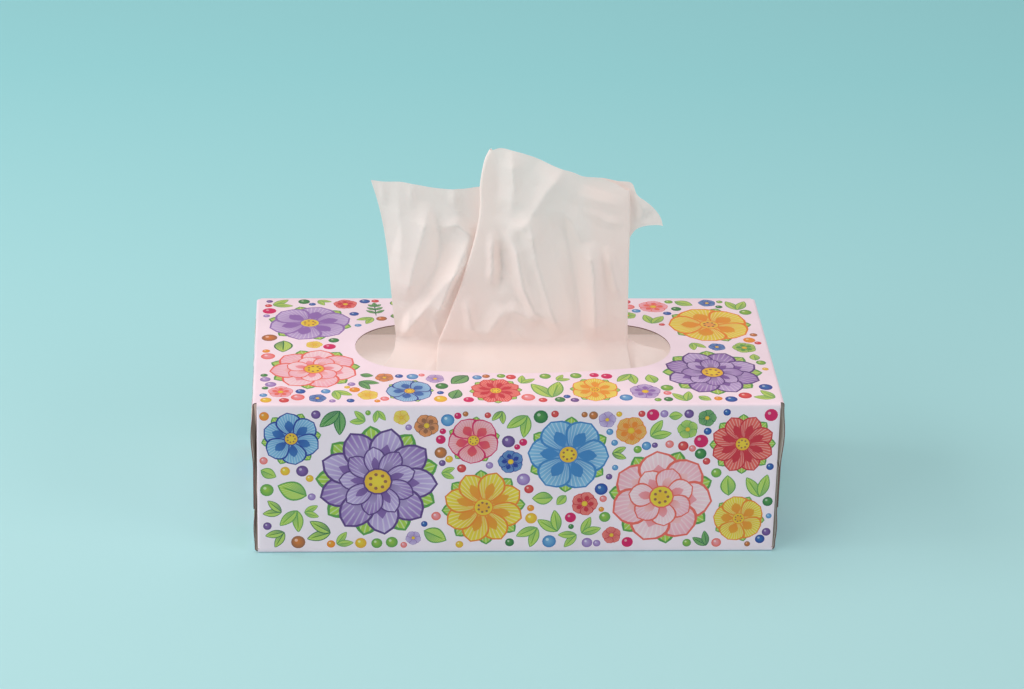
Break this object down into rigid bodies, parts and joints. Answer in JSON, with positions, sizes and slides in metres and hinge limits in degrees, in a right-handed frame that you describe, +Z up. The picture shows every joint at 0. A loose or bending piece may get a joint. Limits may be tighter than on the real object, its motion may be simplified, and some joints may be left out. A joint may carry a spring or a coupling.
{
  "type": "tissue box",
  "caption": "Flat paperboard carton of interfolded facial tissues, with an oval opening in its top and one tissue standing up through it.",
  "frame": {"origin": "middle of the carton's base, on the surface that it stands on", "axes": "+X along the carton's length, -Y its front panel, +Z up through the opening"},
  "size_m": [0.2356, 0.116, 0.1692],
  "materials": {
    "printed_board": "semi-gloss printed board, many-coloured flowers and leaves on a pale ground",
    "tissue_paper": "soft matte white two-ply tissue, finely embossed"
  },
  "bodies": {
    "root": {"carton": "printed_board", "tissue_stack": "tissue_paper", "raised_tissue": "tissue_paper"}
  },
  "joints": []
}
